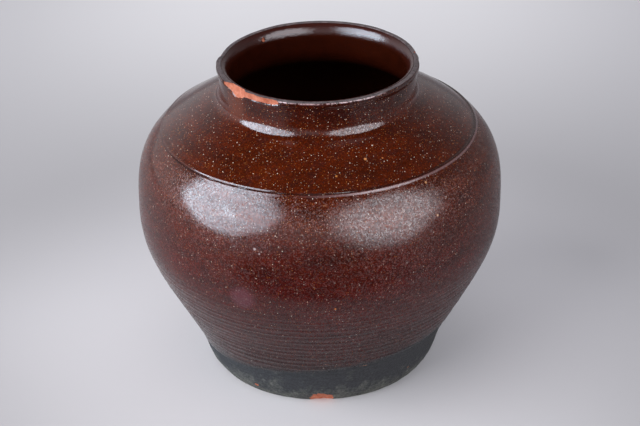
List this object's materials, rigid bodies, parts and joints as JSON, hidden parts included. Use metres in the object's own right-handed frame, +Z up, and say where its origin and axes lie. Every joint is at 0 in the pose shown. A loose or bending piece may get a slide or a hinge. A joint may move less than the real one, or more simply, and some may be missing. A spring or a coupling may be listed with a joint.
{
  "type": "storage jar",
  "caption": "Round-shouldered stoneware medicine jar with a short neck, a thick wiped lip and a bare turned foot, brown glazed inside and out.",
  "frame": {"origin": "centre of the standing ring, on the surface that the jar stands on", "axes": "+Z up along the axis that the jar was turned about; the pictured front faces -Y"},
  "size_m": [0.26, 0.26, 0.2307],
  "materials": {
    "body_clay": "matt fired stoneware, salmon orange where it is chipped",
    "luting_slip": "matt fired slip at the joints, hidden",
    "lip_clay": "dull grey-brown, glaze wiped off",
    "foot_dressing": "matt blue-black slip, dusty and scuffed",
    "outer_glaze": "glossy iron-brown glaze, amber on the shoulder and maroon on the belly, with fine gold specks",
    "inner_glaze": "glossy amber-brown glaze"
  },
  "bodies": {
    "root": {"base_disc": "body_clay", "foot_luting": "luting_slip", "body_wall": "body_clay", "shoulder_luting": "luting_slip", "shoulder_dome": "body_clay", "neck_luting": "luting_slip", "neck_collar": "lip_clay", "foot_dressing": "foot_dressing", "outer_glaze": "outer_glaze", "inner_glaze": "inner_glaze"}
  },
  "joints": []
}
